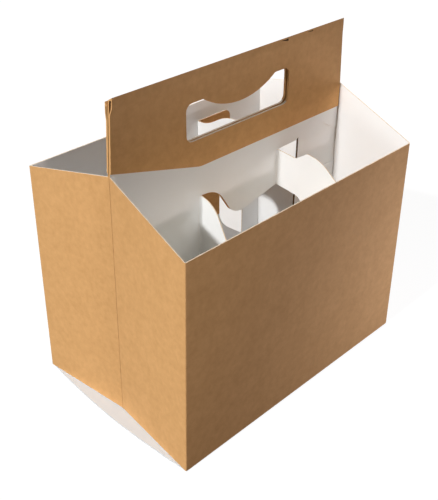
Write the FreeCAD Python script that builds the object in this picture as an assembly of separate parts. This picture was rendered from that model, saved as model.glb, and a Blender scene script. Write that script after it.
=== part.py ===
import FreeCAD, Part
import math
import os

# Six-bottle basket carrier, die-cut from one sheet of board, folded and glued. Millimetres, +Z up.
# The long sides run along X. The origin is under the middle of the carrier, on the surface it stands on.
# The carrier is a little racked: its middle wall sits further to +X than its two sides.

# The board and the outer box
board = 0.7
side_length = 200.0
wall_length = 202.0
side_height = 150.0
half_depth = 67.0
crease_height = 167.0
rack = 8.0
end_lean = 0.02
bottom_bulge = 3.2
fold_radius = 0.9
end_lift = 0.5

# The handle, on top of the middle wall
handle_height = 212.0
loop_radius = 1.25
loop_drop = 8.0
loop_seam = 1.5
grip_length = 86.5
grip_height = 22.0
grip_margin = 19.0
grip_corner = 4.5
grip_pad_length = 60.0
grip_pad_depth = 9.5
flap_drop = 61.5
flap_edge_drop = 43.0
flap_knee = 68.3
flap_knee_radius = 14.0

# The dividers, struck from the long risers
first_cell = 69.0
last_cell = 64.8
divider_bottom = 52.0
first_tab_width = 20.5
first_tab_top = 112.6
first_tab_radius = 6.0
second_tab_width = 31.5
second_tab_top = 135.0
second_tab_radius = 5.0
tongue_width = 29.0
tongue_bottom = 60.0
tongue_radius = 8.0
notch_top = 92.0

# The die line over the first divider: its height at the hinge, then the arch and the trough
arch_height = 130.3
arch_end = 13.9
arch_fall = 1.4
arch_radius = 16.0
trough_start = 29.4
trough_depth = 26.3
trough_radius = 13.0

# The die line over the second divider: its height at the hinge, then the kink and the hump
ledge_height = 137.8
kink_start = 18.2
kink_rise = 0.4
kink_radius = 3.0
hump_start = 28.5
hump_rise = 7.8
hump_start_radius = 5.0
hump_end = 41.5
hump_fall = 0.7
hump_end_radius = 8.0
slope_end = 57.5
slope_radius = 4.0

# The risers
riser_lift = 1.0
riser_edge_gap = 0.9
short_riser_length = 43.5
hinge_land = 0.9

# Where the sheet's creases stand: along X at the bottom of the carrier, then across it
overall_length = bottom_bulge + side_length / 2 + rack + wall_length / 2
side_left = bottom_bulge - overall_length / 2
side_right = side_left + side_length
wall_right = overall_length / 2
wall_left = wall_right - wall_length
hinge_one = wall_left + first_cell
hinge_two = wall_right - last_cell
side_inner = -half_depth + board
riser_back = -board
riser_face = -2 * board
flap_face = -3 * board

# Heights and shares of the handle
loop_bottom = handle_height - loop_drop
grip_top = handle_height - grip_margin
grip_bottom = grip_top - grip_height
flap_low = handle_height - flap_drop
flap_high = handle_height - flap_edge_drop


def left_edge(z):
    """The left end of the middle wall at a height: both ends lean in towards the top."""
    return wall_left + end_lean * z


def right_edge(z):
    """The right end of the middle wall at a height."""
    return wall_right - end_lean * z


def free_edge(z):
    """The right edge of the long riser and its flap, which stops short of the right end."""
    return right_edge(z) - board - riser_edge_gap


def rounded_outline(corners):
    """A closed wire through (x, z, radius) corners in the XZ plane, with an arc at each corner that has a radius."""
    def at(p):
        return FreeCAD.Vector(p[0], 0, p[1])

    stops = []
    count = len(corners)
    for i, corner in enumerate(corners):
        here = at(corner)
        if not corner[2]:
            stops.append((here, None, here))
            continue
        to_last = at(corners[i - 1]) - here
        to_next = at(corners[(i + 1) % count]) - here
        half = to_last.getAngle(to_next) / 2
        to_last.normalize()
        to_next.normalize()
        setback = corner[2] / math.tan(half)
        middle = to_last + to_next
        middle.normalize()
        top = here + middle * (corner[2] / math.sin(half) - corner[2])
        stops.append((here + to_last * setback, top, here + to_next * setback))
    edges = []
    for i, (start, top, end) in enumerate(stops):
        if top is not None:
            edges.append(Part.Arc(start, top, end).toShape())
        edges.append(Part.LineSegment(end, stops[(i + 1) % count][0]).toShape())
    return Part.Wire(edges)


def panel(corners, back, face):
    """A flat panel of the sheet: an XZ outline that runs from one y to another."""
    plate = Part.Face(rounded_outline(corners)).extrude(FreeCAD.Vector(0, face - back, 0))
    plate.translate(FreeCAD.Vector(0, back, 0))
    return plate


def first_wave(start, run):
    """The die line over the first divider: an arch at its hinge, a trough, then a slow rise to the tab's top."""
    return [
        (start, arch_height, 0),
        (start + arch_end, arch_height - arch_fall, arch_radius),
        (start + trough_start, arch_height - trough_depth, trough_radius),
        (start + run, first_tab_top, 0),
    ]


def second_wave(start, run):
    """The die line over the second divider: a level ledge, a small kink, then a low hump down to the tab's top."""
    hump_height = ledge_height + hump_rise
    return [
        (start, ledge_height, 0),
        (start + kink_start, ledge_height + kink_rise, kink_radius),
        (start + hump_start, hump_height, hump_start_radius),
        (start + hump_end, hump_height - hump_fall, hump_end_radius),
        (start + slope_end, second_tab_top, slope_radius),
        (start + run, second_tab_top, 0),
    ]


def end_face(x_side, x_wall, y_wall, y):
    """Where the face of an end panel is along X, between the side's corner and the middle wall."""
    return x_side + (x_wall - x_side) * (y + half_depth) / (y_wall + half_depth)


def plan(z):
    """The strip of sheet that is the front half's two ends and side, seen from above at a height."""
    lean = end_lean * z
    left = (side_left + lean, wall_left + lean, riser_back)
    right = (side_right - lean, wall_right - lean, 0)
    skew_left = board * math.hypot(1, rack / half_depth)
    skew_right = -skew_left
    points = [
        (left[1], riser_back),
        (left[0], -half_depth),
        (right[0], -half_depth),
        (right[1], 0),
        (end_face(*right, -board) + skew_right, -board),
        (end_face(*right, side_inner) + skew_right, side_inner),
        (end_face(*left, side_inner) + skew_left, side_inner),
        (end_face(*left, riser_face) + skew_left, riser_face),
    ]
    corners = [FreeCAD.Vector(x, y, z) for x, y in points]
    return Part.makePolygon(corners + corners[:1])


def walls():
    """The front half's side and ends, with the ends rising to the middle."""
    strip = Part.makeLoft([plan(0), plan(handle_height)], True, True)
    strip = strip.makeFillet(fold_radius, [edge for edge in strip.Edges if is_corner(edge)])
    far_left = side_left - rack
    span = side_length + 3 * rack
    outside = -2 * half_depth
    slope = (crease_height - side_height) / half_depth
    above = [
        FreeCAD.Vector(far_left, outside, crease_height + slope * outside),
        FreeCAD.Vector(far_left, 0, crease_height),
        FreeCAD.Vector(far_left, 0, 2 * handle_height),
        FreeCAD.Vector(far_left, outside, 2 * handle_height),
    ]
    roof = Part.Face(Part.makePolygon(above + above[:1])).extrude(FreeCAD.Vector(span, 0, 0))
    under = Part.makeBox(
        span, half_depth - board, board + end_lift, FreeCAD.Vector(far_left, side_inner, 0))
    return strip.cut([roof, under])


def is_corner(edge):
    """True for the two upright outer edges where the side panel turns into the ends."""
    ends = [vertex.Point for vertex in edge.Vertexes]
    outside = all(abs(point.y + half_depth) < board / 10 for point in ends)
    return outside and abs(ends[0].z - ends[-1].z) > side_height


def bottom():
    """The front half of the bottom panel, whose end edges bow outwards."""
    radius = (half_depth ** 2 + bottom_bulge ** 2) / (2 * bottom_bulge)
    part_way = math.sqrt(radius ** 2 - half_depth ** 2 / 4) - (radius - bottom_bulge)

    def end_edge(x, sign):
        return Part.Arc(
            FreeCAD.Vector(x, -half_depth, 0),
            FreeCAD.Vector(x + sign * part_way, -half_depth / 2, 0),
            FreeCAD.Vector(x + sign * bottom_bulge, 0, 0)).toShape()

    left = end_edge(side_left, -1)
    right = end_edge(side_right, 1)
    front = Part.makeLine(FreeCAD.Vector(side_left, -half_depth, 0), FreeCAD.Vector(side_right, -half_depth, 0))
    middle = Part.makeLine(
        FreeCAD.Vector(side_left - bottom_bulge, 0, 0), FreeCAD.Vector(side_right + bottom_bulge, 0, 0))
    outline = Part.Wire(Part.__sortEdges__([left, front, right, middle]))
    return Part.Face(outline).extrude(FreeCAD.Vector(0, 0, board))


def bottom_fold():
    """What the round fold between the side and the bottom leaves off a square edge."""
    length = side_length + 2 * rack
    left = side_left - rack
    square = Part.makeBox(
        length, 2 * fold_radius, 2 * fold_radius,
        FreeCAD.Vector(left, -half_depth - fold_radius, -fold_radius))
    fold = Part.makeCylinder(
        fold_radius, length, FreeCAD.Vector(left, -half_depth + fold_radius, fold_radius),
        FreeCAD.Vector(1, 0, 0))
    return square.cut(fold)


def long_riser():
    """The front long riser: it carries the handle, and the dividers leave a window in it."""
    notch_left = hinge_two + first_tab_width + tongue_width
    corners = [
        (left_edge(riser_lift), riser_lift, 0),
        (left_edge(loop_bottom), loop_bottom, 0),
        (free_edge(loop_bottom), loop_bottom, 0),
        (free_edge(second_tab_top), second_tab_top, 0),
    ]
    corners += second_wave(hinge_two, last_cell)[-2:0:-1]
    corners += [
        (hinge_two + hinge_land, ledge_height, 0),
        (hinge_two + hinge_land, first_tab_top, 0),
    ]
    corners += first_wave(hinge_one, hinge_two - hinge_one)[-2:0:-1]
    corners += [
        (hinge_one + hinge_land, arch_height, 0),
        (hinge_one + hinge_land, divider_bottom, 0),
        (hinge_two + first_tab_width, divider_bottom, 0),
        (hinge_two + first_tab_width, tongue_bottom, 0),
        (notch_left, tongue_bottom, 0),
        (notch_left, notch_top, 0),
        (free_edge(notch_top), notch_top, 0),
        (free_edge(riser_lift), riser_lift, 0),
    ]
    return panel(corners, riser_back, riser_face)


def short_riser():
    """The front short riser, as tall as the right end's crease that it hangs on, glued behind the long one."""
    corners = [
        (right_edge(riser_lift), riser_lift, 0),
        (right_edge(crease_height), crease_height, 0),
        (wall_right - short_riser_length, crease_height, 0),
        (wall_right - short_riser_length, riser_lift, 0),
    ]
    return panel(corners, 0, riser_back)


def handle_flap():
    """The flap that turns over the top of the riser and hangs down its white face."""
    corners = [
        (left_edge(flap_high), flap_high, 0),
        (left_edge(loop_bottom), loop_bottom, 0),
        (free_edge(loop_bottom), loop_bottom, 0),
        (free_edge(flap_low), flap_low, 0),
        (wall_left + flap_knee, flap_low, flap_knee_radius),
    ]
    return panel(corners, riser_face, flap_face)


def teardrop(bottom_left, bottom_right, centre, radius):
    """A YZ outline that opens upwards from one or two low corners to a round top."""
    def at(y, z):
        return FreeCAD.Vector(wall_left, y, z)

    left = at(riser_face - radius, centre)
    right = at(riser_face + radius, centre)
    edges = [
        Part.makeLine(at(*bottom_right), right),
        Part.Arc(right, at(riser_face, centre + radius), left).toShape(),
        Part.makeLine(left, at(*bottom_left)),
    ]
    if bottom_left != bottom_right:
        edges.append(Part.makeLine(at(*bottom_left), at(*bottom_right)))
    return Part.Face(Part.Wire(edges)).extrude(FreeCAD.Vector(wall_length, 0, 0))


def top_loop():
    """The sheet's turn at the top of the handle, which springs open as a small loop."""
    centre = handle_height - loop_radius
    outside = teardrop((flap_face, loop_bottom), (riser_back, loop_bottom), centre, loop_radius)
    seam = (riser_face, loop_bottom + loop_seam)
    inside = teardrop(seam, seam, centre, loop_radius - board)
    trim = panel([
        (left_edge(loop_bottom), loop_bottom, 0),
        (left_edge(handle_height), handle_height, 0),
        (free_edge(handle_height), handle_height, 0),
        (free_edge(loop_bottom), loop_bottom, 0),
    ], 0, riser_face - 2 * loop_radius)
    return outside.cut(inside).common(trim)


def grip_hole():
    """The hand hole through every ply, with a rounded pad hanging from its top edge."""
    centre = (wall_left + wall_right) / 2
    half = grip_length / 2
    radius = ((grip_pad_length / 2) ** 2 + grip_pad_depth ** 2) / (2 * grip_pad_depth)
    front = flap_face - board
    slot = panel([
        (centre - half, grip_bottom, grip_corner),
        (centre - half, grip_top, grip_corner),
        (centre + half, grip_top, grip_corner),
        (centre + half, grip_bottom, grip_corner),
    ], 0, front)
    round_pad = Part.makeCylinder(
        radius, -front, FreeCAD.Vector(centre, front, grip_top + radius - grip_pad_depth),
        FreeCAD.Vector(0, 1, 0))
    return slot.cut(round_pad)


def divider(hinge, outline):
    """A divider swung out from its hinge on the riser to the side panel."""
    blade = panel(outline, 0, board)
    turn = math.degrees(math.atan2(rack, half_depth))
    blade.rotate(FreeCAD.Vector(0, 0, 0), FreeCAD.Vector(0, 0, 1), -90 - turn)
    blade.translate(FreeCAD.Vector(hinge + board, riser_face, 0))
    return blade


def tab(left, width, top, radius):
    """A glue tab, flat against the inside of the side panel."""
    corners = [
        (left, divider_bottom, 0),
        (left, top, 0),
        (left + width, top, radius),
        (left + width, divider_bottom, radius),
    ]
    return panel(corners, side_inner, side_inner + board)


def dividers():
    """The front half's two dividers, each with the tab that is glued to the side panel."""
    deep = riser_face - side_inner
    run = math.hypot(deep, deep * rack / half_depth)
    bite = board / 2
    tongue_end = first_tab_width + tongue_width
    first = [(-bite, arch_height, 0)] + first_wave(0, run)[1:-1] + [
        (run + bite, first_tab_top, 0),
        (run + bite, divider_bottom, 0),
        (-bite, divider_bottom, 0),
    ]
    second = [(-bite, ledge_height, 0)] + second_wave(0, run)[1:-1] + [
        (run + bite, second_tab_top, 0),
        (run + bite, notch_top, 0),
        (tongue_end, notch_top, 0),
        (tongue_end, tongue_bottom, tongue_radius),
        (first_tab_width, tongue_bottom, 0),
        (first_tab_width, first_tab_top, first_tab_radius),
        (-bite, first_tab_top, 0),
    ]
    reach = rack * deep / half_depth
    return [
        divider(hinge_one, first),
        divider(hinge_two, second),
        tab(hinge_one - reach, first_tab_width, first_tab_top, first_tab_radius),
        tab(hinge_two - reach, second_tab_width, second_tab_top, second_tab_radius),
    ]


def carrier():
    """The whole folded sheet: the front half and its mirror image, joined by the bottom and the glued risers."""
    handle = long_riser().fuse([handle_flap(), top_loop()]).cut(grip_hole())
    box = walls().fuse(bottom()).cut(bottom_fold())
    front = box.fuse([handle, short_riser()] + dividers())
    back = front.mirror(FreeCAD.Vector(0, 0, 0), FreeCAD.Vector(0, 1, 0))
    whole = front.fuse(back).removeSplitter()
    return whole.Solids[0] if len(whole.Solids) == 1 else whole


os.makedirs("parts", exist_ok=True)
shape = carrier()
print("solids", len(shape.Solids), "valid", shape.isValid(), "volume", round(shape.Volume))
shape.exportStep("parts/carrier.step")
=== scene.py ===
import math

import bmesh
import bpy
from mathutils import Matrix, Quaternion, Vector


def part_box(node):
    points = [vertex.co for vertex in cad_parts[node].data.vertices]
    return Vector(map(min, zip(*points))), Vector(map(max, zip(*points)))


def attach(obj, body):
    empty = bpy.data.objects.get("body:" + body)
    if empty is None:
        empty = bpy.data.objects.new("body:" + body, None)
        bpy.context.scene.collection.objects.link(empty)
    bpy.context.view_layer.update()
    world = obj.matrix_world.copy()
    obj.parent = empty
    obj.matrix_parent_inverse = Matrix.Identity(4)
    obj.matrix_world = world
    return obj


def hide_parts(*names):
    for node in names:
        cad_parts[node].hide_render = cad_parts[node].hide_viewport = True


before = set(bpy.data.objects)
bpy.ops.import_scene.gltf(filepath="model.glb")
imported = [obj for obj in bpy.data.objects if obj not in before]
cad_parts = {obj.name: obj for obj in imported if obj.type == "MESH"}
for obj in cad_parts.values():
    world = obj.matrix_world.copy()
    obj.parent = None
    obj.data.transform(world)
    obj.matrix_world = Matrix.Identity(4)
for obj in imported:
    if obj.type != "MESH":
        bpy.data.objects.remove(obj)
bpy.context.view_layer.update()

bpy.ops.object.select_all(action="DESELECT")

# The box: its bottom, its two long sides and its four half ends are one sheet of kraft board, white inside.
# The sheet is drawn from one side panel, folded along rounded creases, and mirrored across the middle. Each half
# end turns in at the left as a narrow lip, which is the start of the long riser.
mm = 0.001
low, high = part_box("carrier")
board = 0.7 * mm
half_depth = high.y
wall_right = high.x
bottom_bulge = 3.2 * mm
side_length = 200 * mm
wall_left = wall_right - 202 * mm
side_left = low.x + bottom_bulge
side_right = side_left + side_length
side_height = 150 * mm
crease_height = 167 * mm
end_lean = 0.02
end_lift = 1.2 * mm
fold_radius = 0.9 * mm
ridge_gap = 0.03 * mm
front_sag = 2.2 * mm
back_rise = 0.9 * mm
far_corner_push = 3 * mm
lip_width = 3 * mm
lip_y = -0.68 * mm
lip_fold = 0.25 * mm
close = 0.05 * mm


def choose(piece, test):
    """In edit mode, selects the vertices whose places pass a test, and the edges and faces between them."""
    bpy.ops.mesh.select_all(action="DESELECT")
    mesh = bmesh.from_edit_mesh(piece.data)
    for vert in mesh.verts:
        vert.select = test(vert.co)
    mesh.select_flush(True)
    bmesh.update_edit_mesh(piece.data)


def slide(x=0.0, y=0.0, z=0.0):
    """Moves what is selected."""
    bpy.ops.transform.translate(value=(x, y, z))


def draw_out(x=0.0, y=0.0, z=0.0):
    """Extrudes the selected edge, and leaves the new edge selected."""
    bpy.ops.mesh.extrude_region_move(TRANSFORM_OT_translate={"value": (x, y, z)})


def fold(piece, test, radius, segments=3):
    """Rounds the crease whose vertices pass a test."""
    choose(piece, test)
    bpy.ops.mesh.bevel(offset=radius, segments=segments, affect="EDGES")


def noise(nodes, links, place, scale, detail, roughness=0.5):
    """A cloudy pattern over the object, between 0 and 1."""
    made = nodes.new("ShaderNodeTexNoise")
    made.inputs["Scale"].default_value = scale
    made.inputs["Detail"].default_value = detail
    made.inputs["Roughness"].default_value = roughness
    links.new(place, made.inputs["Vector"])
    return made.outputs["Fac"]


def blend_colours(nodes, links, amount, low_colour, high_colour, low_at, high_at):
    """A colour ramp from one colour to another between two levels of a pattern."""
    ramp = nodes.new("ShaderNodeValToRGB")
    ramp.color_ramp.elements[0].position = low_at
    ramp.color_ramp.elements[0].color = (*low_colour, 1)
    ramp.color_ramp.elements[1].position = high_at
    ramp.color_ramp.elements[1].color = (*high_colour, 1)
    links.new(amount, ramp.inputs["Fac"])
    return ramp.outputs["Color"]


def paper(name, roughness, specular):
    """A material with a rough shader, and its tree and its place on the object, ready for a pattern."""
    material = bpy.data.materials.new(name)
    material.use_nodes = True
    nodes, links = material.node_tree.nodes, material.node_tree.links
    shader = nodes["Principled BSDF"]
    shader.inputs["Roughness"].default_value = roughness
    shader.inputs["Specular IOR Level"].default_value = specular
    place = nodes.new("ShaderNodeTexCoord").outputs["Object"]
    return material, nodes, links, shader, place


def multiply(nodes, links, first, second):
    """One colour tinted by another."""
    mix = nodes.new("ShaderNodeMix")
    mix.data_type = "RGBA"
    mix.blend_type = "MULTIPLY"
    mix.inputs["Factor"].default_value = 1.0
    links.new(first, mix.inputs["A"])
    links.new(second, mix.inputs["B"])
    return mix.outputs["Result"]


# the brown paper: fine pulp, wide soft clouds over it, and a felt-like bump
kraft, nodes, links, shader, place = paper("kraft_brown_liner", roughness=0.86, specular=0.25)
pulp = blend_colours(
    nodes, links, noise(nodes, links, place, scale=260, detail=5, roughness=0.66),
    low_colour=(0.665, 0.357, 0.136), high_colour=(0.745, 0.413, 0.168), low_at=0.32, high_at=0.68)
clouds = blend_colours(
    nodes, links, noise(nodes, links, place, scale=70, detail=3),
    low_colour=(0.96, 0.955, 0.94), high_colour=(1.0, 1.0, 1.0), low_at=0.35, high_at=0.65)
links.new(multiply(nodes, links, pulp, clouds), shader.inputs["Base Color"])
bump = nodes.new("ShaderNodeBump")
bump.inputs["Strength"].default_value = 0.25
bump.inputs["Distance"].default_value = 0.05 * mm
links.new(noise(nodes, links, place, scale=900, detail=3), bump.inputs["Height"])
links.new(bump.outputs["Normal"], shader.inputs["Normal"])


def mottled(name, roughness, specular, grain, dark, pale, margin):
    """A paper of one tone, which a fine noise varies between a darker and a paler colour."""
    material, nodes, links, shader, place = paper(name, roughness, specular)
    blended = blend_colours(
        nodes, links, noise(nodes, links, place, grain, 3), dark, pale, margin, 1 - margin)
    links.new(blended, shader.inputs["Base Color"])
    return material


lining = mottled(
    "white_coated_lining", roughness=0.55, specular=0.35, grain=60,
    dark=(0.90, 0.895, 0.885), pale=(0.91, 0.905, 0.895), margin=0.35)
# the bottom's white, greyer and cooler than the lining: painted shade against the warm light that the lit brown
# end throws on it
bottom_painted_shade = mottled(
    "bottom_lining_painted_shade", roughness=0.6, specular=0.3, grain=60,
    dark=(0.77, 0.82, 0.86), pale=(0.79, 0.84, 0.88), margin=0.35)
cut_edge = mottled(
    "raw_cut_edge", roughness=0.9, specular=0.2, grain=700,
    dark=(0.79, 0.62, 0.44), pale=(0.91, 0.78, 0.62), margin=0.3)
brown_slot, white_slot, rim_slot = 0, 1, 2
fold_smoothing = math.radians(40)


def thicken(piece, rim):
    """Gives a drawn sheet its thickness: brown where it faces out, white behind, and an edge all round."""
    for material in (kraft, lining, rim):
        piece.data.materials.append(material)
    solid = piece.modifiers.new("board", "SOLIDIFY")
    solid.thickness = board
    solid.offset = -1
    solid.use_even_offset = True
    solid.material_offset = white_slot
    solid.material_offset_rim = rim_slot
    bpy.ops.object.modifier_apply(modifier=solid.name)


def add_material(piece, material):
    """Gives a piece one more material, and returns its slot."""
    piece.data.materials.append(material)
    return len(piece.data.materials) - 1


def settle(piece, name):
    """Names a finished piece, smooths its folds, hangs it on the root body and hides the CAD carrier that it
    stands for.
    """
    piece.name = name
    bpy.ops.object.shade_smooth_by_angle(angle=fold_smoothing)
    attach(piece, "root")
    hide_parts("carrier")
    piece.select_set(False)


bpy.ops.mesh.primitive_plane_add(size=1, rotation=(math.pi / 2, 0, 0))
box = bpy.context.object
box.scale = (side_length, side_height - fold_radius, 1)
box.location = ((side_left + side_right) / 2, -half_depth, (side_height + fold_radius) / 2)
bpy.ops.object.transform_apply(location=True, rotation=True, scale=True)
bpy.ops.object.mode_set(mode="EDIT")
for way in (-1, 1):
    choose(box, lambda p: p.z > side_height - close and p.x * way > 0)
    slide(x=-way * end_lean * side_height)

# the half ends, each with its rise to the crease, and on the left its lip
end_low = 2 * fold_radius
ridge_rise = crease_height - side_height
for way, corner, ridge, ridge_y in ((-1, side_left, wall_left, -ridge_gap), (1, side_right, wall_right, 0)):
    choose(box, lambda p: p.y < -half_depth + close and p.x * way > 0)
    draw_out(x=ridge - corner, y=ridge_y + half_depth)
    choose(box, lambda p: p.y > ridge_y - close and p.z > end_low and p.x * way > 0)
    slide(x=-way * end_lean * ridge_rise, z=ridge_rise)
    choose(box, lambda p: p.y > ridge_y - close and p.z < end_low and p.x * way > 0)
    slide(z=end_lift - fold_radius)
choose(box, lambda p: p.y > -ridge_gap - close and p.x < 0)
draw_out(x=lip_width, y=lip_y + ridge_gap)
fold(box, lambda p: abs(p.y + ridge_gap) < ridge_gap / 3 and p.x < 0, lip_fold, 2)
for way in (-1, 1):
    fold(box, lambda p: p.y < -half_depth + close and p.x * way > 0, fold_radius)

# the side rolls under into the bottom, whose end edges bow outwards
choose(box, lambda p: p.y < -half_depth + close and p.z < end_low)
bpy.ops.mesh.spin(
    steps=4, angle=-math.pi / 2, axis=(1, 0, 0), center=(0, -half_depth + fold_radius, fold_radius))
choose(box, lambda p: p.z < close)
draw_out(y=half_depth - fold_radius)
bow_cuts = 9
for way, corner in ((-1, side_left), (1, side_right)):
    choose(box, lambda p: p.z < close and p.y > -close and p.x * way > 0)
    slide(x=way * (bottom_bulge + fold_radius))
    choose(box, lambda p: p.z < close and p.x * way > 0)
    bpy.ops.mesh.subdivide(number_cuts=bow_cuts)
    for cut in range(1, bow_cuts + 1):
        straight = cut / (bow_cuts + 1)
        y = -(half_depth - fold_radius) * (1 - straight)
        choose(box, lambda p: p.z < close and abs(p.y - y) < close and p.x * way > 0)
        slide(x=way * bottom_bulge * straight * (1 - straight))
bpy.ops.object.mode_set(mode="OBJECT")
mirror = box.modifiers.new("back half", "MIRROR")
mirror.use_axis = (False, True, False)
mirror.merge_threshold = close
bpy.ops.object.modifier_apply(modifier=mirror.name)

# the made-up carrier stands a little out of true: its front edge sits lower, its back edge higher, and its far
# right corner is pushed outwards
bpy.ops.object.mode_set(mode="EDIT")
choose(box, lambda p: p.y < -half_depth + 2 * fold_radius and p.z > side_height - close)
slide(z=-front_sag)
choose(box, lambda p: p.y > half_depth - 2 * fold_radius and p.z > side_height - close)
slide(z=back_rise)
choose(box, lambda p: p.y > half_depth - 2 * fold_radius and p.x > 0.9 * side_right)
slide(x=far_corner_push)
bpy.ops.object.mode_set(mode="OBJECT")
thicken(box, cut_edge)
# the bottom's white faces and edges near the floor take this painted shade
bottom_shade_slot = add_material(box, bottom_painted_shade)
for face in box.data.polygons:
    if face.material_index != brown_slot and face.center.z < 1.5 * board:
        face.material_index = bottom_shade_slot
settle(box, "box")

# The long risers stand back to back in the middle. Each is one sheet: the riser, a sprung loop at the top of the
# handle, and a flap glued down its white face. The dividers leave a waved window in it, and the hand hole goes
# through every ply. It is drawn as a die line, carried over the top, and trimmed at both leaning ends.
handle_height = high.z
hinge_one = wall_left + 69 * mm
hinge_two = wall_right - 64.8 * mm
hinge_land = 0.9 * mm
divider_bottom = 52 * mm
first_tab_width = 26 * mm
first_tab_top = 112.6 * mm
second_tab_top = 135 * mm
tongue_width = 20 * mm
window_width = 33 * mm
tongue_bottom = 60 * mm
notch_top = 108 * mm
arch_height = 130.3 * mm
arch_end, arch_fall, arch_radius = 13.9 * mm, 1.4 * mm, 16 * mm
trough_start, trough_depth, trough_radius = 29.4 * mm, 26.3 * mm, 13 * mm
ledge_height = 137.8 * mm
kink_start, kink_rise, kink_radius = 18.2 * mm, 0.4 * mm, 3 * mm
hump_start, hump_rise, hump_start_radius = 28.5 * mm, 7.8 * mm, 5 * mm
hump_end, hump_fall, hump_end_radius = 41.5 * mm, 0.7 * mm, 22 * mm
slope_end, slope_radius = 57.5 * mm, 16 * mm
riser_lift = 1 * mm
riser_edge_gap = 0.9 * mm
riser_back = -board
flap_face = -3 * board
loop_drop = 10 * mm
front_gape, back_gape = 1.4 * mm, 0.5 * mm
left_handle_lean, right_handle_lean = 0.07, 0.055
back_drop = 3.6 * mm
riser_skew = 0.0033
flap_low = handle_height - 61.5 * mm
flap_high = handle_height - 43 * mm
flap_knee = 68.3 * mm
flap_knee_radius = 14 * mm
grip_length = 86.5 * mm
grip_top = handle_height - 19.8 * mm
grip_bottom = grip_top - 23.8 * mm
grip_corner = 4.5 * mm
grip_pad_length = 60 * mm
grip_pad_depth = 9.5 * mm
hole_reach = 10 * board
tear_drop = 1.1 * mm
tear_slant = 2 * mm
tear_reach = 2 * mm
tears = ((38 * mm, 45 * mm, 1.3 * mm), (62 * mm, 68 * mm, 0.6 * mm))
trim_spare = 3 * mm


def first_wave(start, run):
    """The die line over the first divider: an arch at its hinge, a trough, then a rise to the tab's top."""
    return [
        (start, arch_height, 0),
        (start + arch_end, arch_height - arch_fall, arch_radius),
        (start + trough_start, arch_height - trough_depth, trough_radius),
        (start + run, first_tab_top, 0),
    ]


def second_wave(start, run):
    """The die line over the second divider: a ledge, a small kink, then a low hump down to the tab's top."""
    hump_height = ledge_height + hump_rise
    return [
        (start, ledge_height, 0),
        (start + kink_start, ledge_height + kink_rise, kink_radius),
        (start + hump_start, hump_height, hump_start_radius),
        (start + hump_end, hump_height - hump_fall, hump_end_radius),
        (start + slope_end, second_tab_top, slope_radius),
        (start + run, second_tab_top, 0),
    ]


def near(x, z):
    """A test for the vertices at a place, seen from the front."""
    return lambda p: math.hypot(p.x - x, p.z - z) < close


def round_corner(piece, last, here, following, radius):
    """Rounds one corner of a flat card, between the corners before and after it."""
    to_last = Vector((last[0] - here[0], last[1] - here[1]))
    to_next = Vector((following[0] - here[0], following[1] - here[1]))
    setback = radius / math.tan(to_last.angle(to_next) / 2)
    choose(piece, near(here[0], here[1]))
    bpy.ops.mesh.bevel(
        offset=setback, segments=max(3, round(setback / mm)), profile=0.5, affect="VERTICES",
        clamp_overlap=False)


def card(corners, y):
    """A flat card at y, brown towards +Y, from (x, z, radius) corners. It is left in edit mode."""
    bpy.ops.mesh.primitive_circle_add(
        vertices=len(corners), fill_type="NGON", radius=2 * handle_height,
        rotation=(-math.pi / 2, 0, 0), location=(0, y, 2 * handle_height))
    piece = bpy.context.object
    bpy.ops.object.transform_apply(location=True, rotation=True, scale=True)
    starts = [vert.co.copy() for vert in piece.data.vertices]
    bpy.ops.object.mode_set(mode="EDIT")
    for start, corner in zip(starts, corners):
        choose(piece, near(start.x, start.z))
        slide(x=corner[0] - start.x, z=corner[1] - start.z)
    mesh = bmesh.from_edit_mesh(piece.data)
    mesh.normal_update()
    if mesh.faces[:][0].normal.y < 0:
        bpy.ops.mesh.select_all(action="SELECT")
        bpy.ops.mesh.flip_normals()
    for i, corner in enumerate(corners):
        if corner[2]:
            round_corner(piece, corners[i - 1], corner, corners[(i + 1) % len(corners)], corner[2])
    return piece


def trim(piece, x, outward, z=0.0, lean=end_lean):
    """Cuts a sheet's end along a leaning die line through a point, and throws the offcut away."""
    bpy.ops.mesh.select_all(action="SELECT")
    bpy.ops.mesh.bisect(plane_co=(x, 0, z), plane_no=(outward, 0, lean), clear_outer=True)


def cut_away(piece, cutter):
    """Cuts one closed piece out of another, and deletes the cutter."""
    bpy.context.view_layer.objects.active = piece
    cut = piece.modifiers.new("cut", "BOOLEAN")
    cut.object = cutter
    cut.solver = "EXACT"
    cut.use_self = True
    bpy.ops.object.modifier_apply(modifier=cut.name)
    bpy.data.objects.remove(cutter)


free_edge = wall_right - board - riser_edge_gap
far_left = wall_left - trim_spare
far_right = free_edge + trim_spare
notch_left = hinge_two + first_tab_width + tongue_width
window = second_wave(hinge_two, wall_right - hinge_two)[-2:0:-1]
window += [
    (hinge_two + hinge_land, ledge_height, 0),
    (hinge_two + hinge_land, first_tab_top, 0),
]
window += first_wave(hinge_one, hinge_two - hinge_one)[-2:0:-1]
window += [
    (hinge_one + hinge_land, arch_height, 0),
    (hinge_one + hinge_land, divider_bottom, 0),
    (hinge_two + window_width, divider_bottom, 0),
    (hinge_two + window_width, tongue_bottom, 0),
    (notch_left, tongue_bottom, 0),
    (notch_left, notch_top, 0),
]


# a near-black edge: painted shade for cut edges that lie in shadow
painted_shade_edge = mottled(
    "painted_shade_cut_edge", roughness=0.95, specular=0.1, grain=700,
    dark=(0.10, 0.065, 0.035), pale=(0.15, 0.10, 0.055), margin=0.3)


def cutter(corners, y, depth):
    """A closed block, drawn from (x, z, radius) corners, that reaches forwards from y by its depth."""
    block = card(corners, y)
    bpy.ops.mesh.select_all(action="SELECT")
    bpy.ops.mesh.extrude_region_move(TRANSFORM_OT_translate={"value": (0, -depth, 0)})
    bpy.ops.mesh.select_all(action="SELECT")
    bpy.ops.mesh.normals_make_consistent(inside=False)
    bpy.ops.object.mode_set(mode="OBJECT")
    # the cutter's kraft brown goes onto the walls it cuts: painted shade on the hand hole's walls, which lie in
    # shadow
    block.data.materials.append(kraft)
    return block


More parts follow.
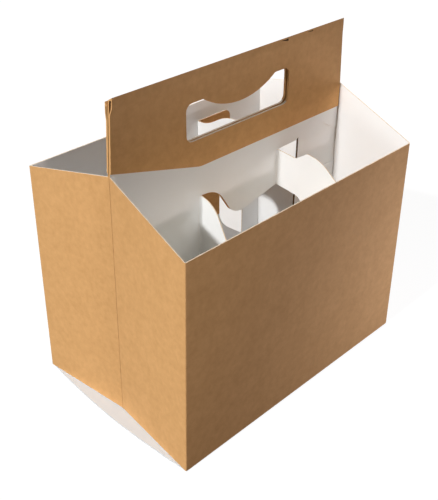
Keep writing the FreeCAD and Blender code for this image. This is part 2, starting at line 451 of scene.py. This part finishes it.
def hand_hole():
    """A slot with round corners, less the round pad that hangs from its top edge, as a closed cutter."""
    centre = (wall_left + wall_right) / 2
    half = grip_length / 2
    slot = cutter([
        (centre - half, grip_bottom, grip_corner),
        (centre - half, grip_top, grip_corner),
        (centre + half, grip_top, grip_corner),
        (centre + half, grip_bottom, grip_corner),
    ], 2 * board, hole_reach)
    pad_radius = ((grip_pad_length / 2) ** 2 + grip_pad_depth ** 2) / (2 * grip_pad_depth)
    bpy.ops.mesh.primitive_cylinder_add(
        vertices=160, radius=pad_radius, depth=4 * hole_reach, rotation=(math.pi / 2, 0, 0),
        location=(centre, 0, grip_top + pad_radius - grip_pad_depth))
    cut_away(slot, bpy.context.object)
    return slot


def long_riser(top, loop_opening):
    """The front long riser, cut through for the hand, with a loop at its top that gapes at the left end."""
    loop_bottom = top - loop_drop
    riser = card([
        (far_left, riser_lift, 0),
        (far_left, loop_bottom, 0),
        (far_right, loop_bottom, 0),
        (far_right, second_tab_top, 0),
    ] + window + [
        (far_right, notch_top, 0),
        (far_right, riser_lift, 0),
    ], riser_back)

    # the loop slopes up from the riser to a tight crease, and bellies out in front, most at its left end: its
    # (y, z) folds, from the riser over the crease and down to the flap's lower edge
    loop = [
        (riser_back, top - 2.8 * mm),
        (riser_back - 0.4 * mm, top - 1.7 * mm),
        (flap_face - 0.3 * mm, top),
        (flap_face - 0.3 * mm, top - 3.5 * mm),
        (flap_face - 0.2 * mm, top - 6 * mm),
        (flap_face, loop_bottom),
        (flap_face, flap_low),
    ]
    last_y, last_z = riser_back, loop_bottom
    choose(riser, lambda p: p.z > loop_bottom - close)
    for y, z in loop:
        draw_out(y=y - last_y, z=z - last_z)
        last_y, last_z = y, z
    choose(riser, lambda p: p.x < far_left + close and p.y < flap_face - close and p.z > loop_bottom + close)
    slide(y=-loop_opening)
    choose(riser, lambda p: p.y < flap_face + close and p.z < flap_low + close)

    # the flap's lower edge: level on the right, then past a round knee up to the left
    bpy.ops.mesh.subdivide(number_cuts=1)
    knee = wall_left + flap_knee
    on_flap = flap_low + close
    choose(riser, lambda p: p.y < flap_face + close and p.z < on_flap
           and far_left + close < p.x < far_right - close)
    slide(x=knee - (far_left + far_right) / 2)
    flap_slope = (flap_high - flap_low) / (flap_knee - end_lean * flap_high)
    flap_corner = flap_low + flap_slope * (knee - far_left)
    choose(riser, lambda p: p.y < flap_face + close and p.z < on_flap and p.x < far_left + close)
    slide(z=flap_corner - flap_low)
    round_corner(riser, (far_left, flap_corner), (knee, flap_low), (far_right, flap_low), flap_knee_radius)
    trim(riser, wall_left, -1)
    trim(riser, free_edge, 1)
    trim(riser, wall_left + end_lean * crease_height, -1, crease_height, left_handle_lean)
    trim(riser, free_edge - end_lean * crease_height, 1, crease_height, right_handle_lean)
    bpy.ops.mesh.select_all(action="SELECT")
    bpy.ops.transform.rotate(value=riser_skew, orient_axis="Z", center_override=(hinge_two, 0, 0))
    bpy.ops.object.mode_set(mode="OBJECT")
    thicken(riser, kraft)
    cut_away(riser, hand_hole())

    # the loop's white inside is painted brown, as painted shade in its hollow; the hole's lower edge shows raw
    # board, and the notch is white all round
    raw_slot = add_material(riser, cut_edge)
    for face in riser.data.polygons:
        x, _, z = face.center
        if face.material_index == white_slot and z > loop_bottom + close:
            face.material_index = brown_slot
        if abs(z - grip_bottom) < grip_corner / 4 and face.normal.z > 0.7:
            face.material_index = raw_slot
        if face.material_index == rim_slot and x > notch_left - close and z < notch_top + close:
            face.material_index = white_slot

    # two small tears just under the crease, their faces painted near black as painted shade of the loop's hollow
    tear_painted_shade_slot = add_material(riser, painted_shade_edge)
    tear_top = top - tear_drop
    for tear_left, tear_right, tear_depth in tears:
        cut_away(riser, cutter([
            (tear_left, tear_top, 0),
            (tear_right, tear_top, 0),
            (tear_right, tear_top - tear_depth, 0),
            (tear_right - tear_slant, tear_top - 0.7 * tear_depth, 0),
        ], flap_face - 0.1 * mm, tear_reach))
        for face in riser.data.polygons:
            x, _, z = face.center
            in_width = tear_left - close < x < tear_right + close
            if in_width and tear_top - tear_depth - close < z < tear_top + close:
                face.material_index = tear_painted_shade_slot
    bpy.ops.object.select_all(action="DESELECT")
    riser.select_set(True)
    bpy.context.view_layer.objects.active = riser
    return riser


def move_to_back(piece, rise=0.0):
    """Mirrors a piece across the middle, raised where asked, and turns it right side out again."""
    piece.scale = (1, -1, 1)
    piece.location.z = rise
    bpy.ops.object.transform_apply(location=True, rotation=False, scale=True)
    bpy.ops.object.mode_set(mode="EDIT")
    bpy.ops.mesh.select_all(action="SELECT")
    bpy.ops.mesh.flip_normals()
    bpy.ops.object.mode_set(mode="OBJECT")


settle(long_riser(handle_height, front_gape), "front_riser")
behind = long_riser(handle_height - back_drop, back_gape)
move_to_back(behind)
settle(behind, "back_riser")

# The short risers hang on the right end's crease, between the long ones, and are glued to their brown backs.
# Each is a plain strip of the same sheet, as tall as the crease. Its cut edge is painted near black, as painted
# shade between the others.
short_riser_length = 43.5 * mm
glue_gap = 0.02 * mm


def copy_to_back(piece, name, rise=0.0):
    """The back half's like piece: a mirror image of a finished one, raised where asked, with its own mesh."""
    bpy.ops.object.select_all(action="DESELECT")
    piece.select_set(True)
    bpy.context.view_layer.objects.active = piece
    bpy.ops.object.duplicate()
    twin = bpy.context.object
    twin.parent = None
    move_to_back(twin, rise)
    settle(twin, name)


short_riser = card([
    (wall_right - short_riser_length, riser_lift, 0),
    (wall_right - short_riser_length, crease_height, 0),
    (wall_right + trim_spare, crease_height, 0),
    (wall_right + trim_spare, riser_lift, 0),
], -glue_gap)
trim(short_riser, wall_right, 1)
bpy.ops.object.mode_set(mode="OBJECT")
thicken(short_riser, painted_shade_edge)
settle(short_riser, "front_short_riser")
copy_to_back(short_riser, "back_short_riser")

# The dividers are struck from the long riser and swung out to the side, where each ends in a glued tab.
# Each is drawn flat, with its die line's wave on top, then folded at the tab and at its hinge.
first_tab_radius = 6 * mm
second_tab_width = 31.5 * mm
second_tab_radius = 5 * mm
notch_radius = 10 * mm
tongue_radius = 8 * mm
rack = 8 * mm
rack_angle = math.atan2(rack, half_depth)
side_inner = -half_depth + board
tab_y = side_inner + board + glue_gap
run = (riser_back - tab_y) / math.cos(rack_angle)
fold_land = board
tab_fold_radius = 0.5 * mm
hinge_fold = 1.5 * mm
hinge_strip = 3 * mm
hinge_gap = 0.04 * mm
back_divider_rise = 2.5 * mm


def divider(name, hinge, top_line, bottom_line, tab_width, tab_top, tab_radius):
    """A divider from its die line: corners along the top from the hinge, and along the bottom back to it."""
    tab = [
        (run + tab_width - fold_land, tab_top, tab_radius),
        (run + tab_width - fold_land, divider_bottom, tab_radius),
        (run, divider_bottom, 0),
    ]
    land = [(-hinge_strip, top_line[0][1], 0)]
    land_foot = [(-hinge_strip, bottom_line[-1][1], 0)]
    blade = card(land + top_line + [(run, tab_top, 0)] + tab + bottom_line + land_foot, 0)
    for crease in (0, run):
        bpy.ops.mesh.select_all(action="SELECT")
        bpy.ops.mesh.bisect(plane_co=(crease, 0, 0), plane_no=(1, 0, 0))
    turn = math.pi / 2 + rack_angle
    choose(blade, lambda p: p.x > run - close)
    bpy.ops.transform.rotate(value=-turn, orient_axis="Z", center_override=(run, 0, 0))
    choose(blade, lambda p: p.x > -close)
    bpy.ops.transform.rotate(value=turn, orient_axis="Z", center_override=(0, 0, 0))
    tab_fold = Vector((-math.sin(rack_angle), -math.cos(rack_angle), 0)) * run
    fold(blade, lambda p: math.hypot(p.x - tab_fold.x, p.y - tab_fold.y) < close, tab_fold_radius)
    fold(blade, lambda p: math.hypot(p.x, p.y) < close, hinge_fold, 1)
    bpy.ops.mesh.select_all(action="SELECT")
    slide(x=hinge + fold_land, y=riser_back - hinge_gap + riser_skew * (hinge_two - hinge))
    bpy.ops.object.mode_set(mode="OBJECT")
    thicken(blade, cut_edge)
    settle(blade, "front_" + name)
    copy_to_back(blade, "back_" + name, back_divider_rise)


divider(
    "first_divider", hinge_one,
    [(0, arch_height, 0)] + first_wave(0, run)[1:-1],
    [(0, divider_bottom, 0)],
    first_tab_width, first_tab_top, first_tab_radius)
tongue_end = first_tab_width + tongue_width
divider(
    "second_divider", hinge_two,
    [(0, ledge_height, 0)] + second_wave(0, run)[1:-1],
    [
        (run, notch_top, 0),
        (tongue_end, notch_top, notch_radius),
        (tongue_end, tongue_bottom, tongue_radius),
        (first_tab_width, tongue_bottom, 0),
        (first_tab_width, first_tab_top, first_tab_radius),
        (0, first_tab_top, 0),
    ],
    second_tab_width, second_tab_top, second_tab_radius)

# The floor is one wide sheet of matt paper that the carrier stands on. It throws little light back up, and a
# glow that only the camera sees makes it near white, with the carrier's soft shadow left in.
floor_width = 12
floor_glow = 0.92
bpy.ops.mesh.primitive_plane_add(size=floor_width)
floor = bpy.context.object
floor.name = "floor"
paper_floor = bpy.data.materials.new("pale_floor")
paper_floor.use_nodes = True
nodes, links = paper_floor.node_tree.nodes, paper_floor.node_tree.links
floor_shader = nodes["Principled BSDF"]
floor_shader.inputs["Base Color"].default_value = (0.13, 0.125, 0.12, 1)
floor_shader.inputs["Roughness"].default_value = 1
floor_shader.inputs["Specular IOR Level"].default_value = 0
glow = nodes.new("ShaderNodeEmission")
glow.inputs["Color"].default_value = (1, 1, 1, 1)
seen = nodes.new("ShaderNodeLightPath")
glow_share = nodes.new("ShaderNodeMath")
glow_share.operation = "MULTIPLY"
glow_share.inputs[1].default_value = floor_glow
links.new(seen.outputs["Is Camera Ray"], glow_share.inputs[0])
links.new(glow_share.outputs[0], glow.inputs["Strength"])
both = nodes.new("ShaderNodeAddShader")
links.new(floor_shader.outputs[0], both.inputs[0])
links.new(glow.outputs[0], both.inputs[1])
links.new(both.outputs[0], nodes["Material Output"].inputs["Surface"])
floor.data.materials.append(paper_floor)

# The light is a studio's: a strong lamp high on the left, in line with the handle, a low one beside it, a low
# weak one in front, and a wide one behind on the right. White walls throw it on into the cells.
def lamp(name, towards, strength, spread, colour=(1, 1, 1)):
    """A distant lamp in a direction; a strength of 1 lights a white card that faces it to full white."""
    light = bpy.data.lights.new(name, "SUN")
    light.energy = strength * math.pi
    light.angle = math.radians(spread)
    light.color = colour
    lamp_object = bpy.data.objects.new(name, light)
    lamp_object.rotation_mode = "QUATERNION"
    lamp_object.rotation_quaternion = Vector(towards).to_track_quat("Z", "Y")
    bpy.context.scene.collection.objects.link(lamp_object)


lamp("key_from_left", towards=(-0.755, 0.0, 0.656), strength=0.97, spread=3, colour=(0.965, 0.985, 1.0))
lamp("low_from_left", towards=(-0.998, 0.0, 0.06), strength=0.18, spread=6)
lamp("low_from_front", towards=(-0.05, -0.94, 0.34), strength=0.135, spread=4, colour=(1, 0.88, 0.86))
lamp("fill_from_behind", towards=(0.6, 0.6, 0.53), strength=0.45, spread=30)

# Two small lamps stand close by: one low at the right end of the front, and one inside the front cells, where
# it faces the riser as a reflector card would.
def small_lamp(name, place, target, width, height, energy, colour):
    """A small flat lamp at a place, turned to a target, which the camera doesn't see."""
    light = bpy.data.lights.new(name, "AREA")
    light.shape = "RECTANGLE"
    light.size, light.size_y = width, height
    light.energy = energy
    light.color = colour
    lamp_object = bpy.data.objects.new(name, light)
    lamp_object.location = place
    lamp_object.rotation_mode = "QUATERNION"
    lamp_object.rotation_quaternion = (Vector(place) - Vector(target)).to_track_quat("Z", "Y")
    lamp_object.visible_camera = False
    bpy.context.scene.collection.objects.link(lamp_object)


small_lamp(
    "near_front_right", place=(0.20, -0.22, 0.03), target=(0.06, -half_depth, 0.05),
    width=0.12, height=0.12, energy=0.38, colour=(0.70, 0.76, 1.0))
small_lamp(
    "card_in_front_cells", place=(-0.01, -0.06, 0.12), target=(-0.01, 0.0, 0.12),
    width=0.15, height=0.04, energy=0.013, colour=(1, 0.93, 0.76))

# The room around is dim and a little warm, as light thrown back by brown board is. What the camera sees of it is
# plain white, like the floor.
room_light = 0.04
room_colour = (1, 0.9, 0.84, 1)
world = bpy.data.worlds.new("studio")
bpy.context.scene.world = world
world.use_nodes = True
nodes, links = world.node_tree.nodes, world.node_tree.links
background = nodes["Background"]
seen = nodes.new("ShaderNodeLightPath")
sky_colour = nodes.new("ShaderNodeMix")
sky_colour.data_type = "RGBA"
sky_colour.inputs["A"].default_value = room_colour
sky_colour.inputs["B"].default_value = (1, 1, 1, 1)
links.new(seen.outputs["Is Camera Ray"], sky_colour.inputs["Factor"])
links.new(sky_colour.outputs["Result"], background.inputs["Color"])
level = nodes.new("ShaderNodeMapRange")
level.inputs["To Min"].default_value = room_light
level.inputs["To Max"].default_value = 1.0
links.new(seen.outputs["Is Camera Ray"], level.inputs["Value"])
links.new(level.outputs["Result"], background.inputs["Strength"])

# The camera stands where the photograph was taken from: close by, to the left of the front and above the
# handle. Its turn, its place and its lens bring the carrier's corners onto the photograph's.
azimuth, elevation, roll = math.radians(-47.231), math.radians(33.541), math.radians(1.683)
photo_long_side = 500
focal_pixels = 826.82
centre_shift_pixels = 31
camera_place = (-0.32418, -0.31779, 0.37908)
back_way = Vector((
    math.sin(azimuth) * math.cos(elevation), -math.cos(azimuth) * math.cos(elevation), math.sin(elevation)))
camera_data = bpy.data.cameras.new("camera")
camera_data.lens = focal_pixels / photo_long_side * camera_data.sensor_width
camera_data.shift_x = -centre_shift_pixels / photo_long_side
camera_data.clip_start = 0.01
camera = bpy.data.objects.new("camera", camera_data)
camera.location = camera_place
camera.rotation_mode = "QUATERNION"
camera.rotation_quaternion = (-back_way).to_track_quat("-Z", "Y") @ Quaternion((0, 0, 1), roll)
bpy.context.scene.collection.objects.link(camera)
bpy.context.scene.camera = camera
bpy.context.scene.view_settings.view_transform = "Standard"
